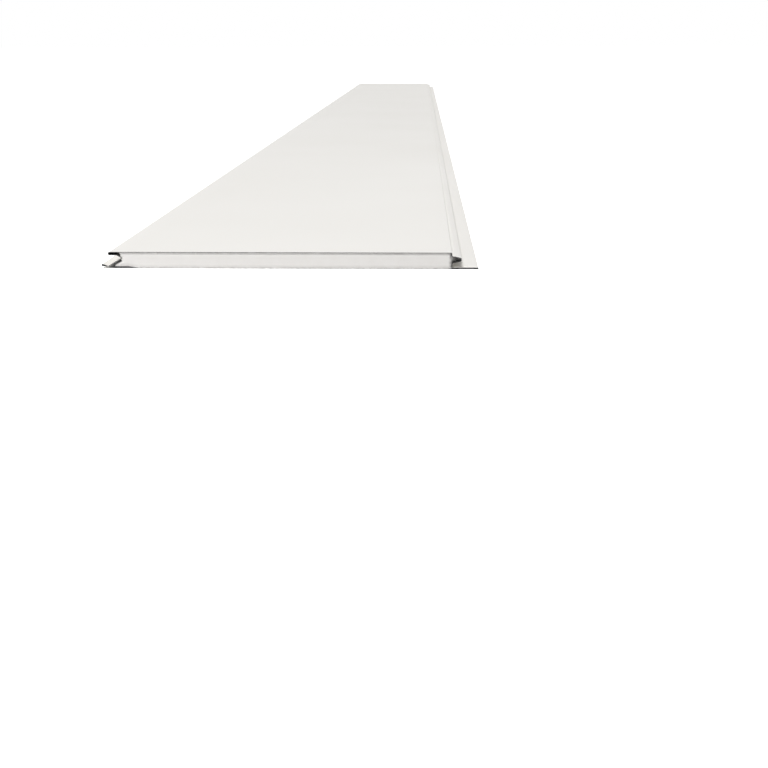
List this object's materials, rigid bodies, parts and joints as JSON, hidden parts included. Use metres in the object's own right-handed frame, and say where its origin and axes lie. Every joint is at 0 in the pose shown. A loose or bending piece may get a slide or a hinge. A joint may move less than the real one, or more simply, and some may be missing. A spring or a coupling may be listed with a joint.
{
  "type": "decorative wall panel",
  "caption": "Long flat foam-cored facade panel with a coated steel face, a hooked groove edge, a tongue and nailing flange edge, and an embossed foil back.",
  "frame": {"origin": "middle of the panel's length and of its visible face's width, on the plane of the back foil", "axes": "+X from the groove edge to the nailing edge, +Y along the panel, +Z out of the wall through the visible face"},
  "size_m": [0.4113, 5.8, 0.018],
  "materials": {
    "coated_steel": "satin off-white coil coating",
    "pu_foam": "sawn rigid foam, fine cells",
    "embossed_foil": "embossed, bright"
  },
  "bodies": {
    "root": {"face_sheet": "coated_steel", "foam_core": "pu_foam", "back_foil": "embossed_foil"}
  },
  "joints": []
}
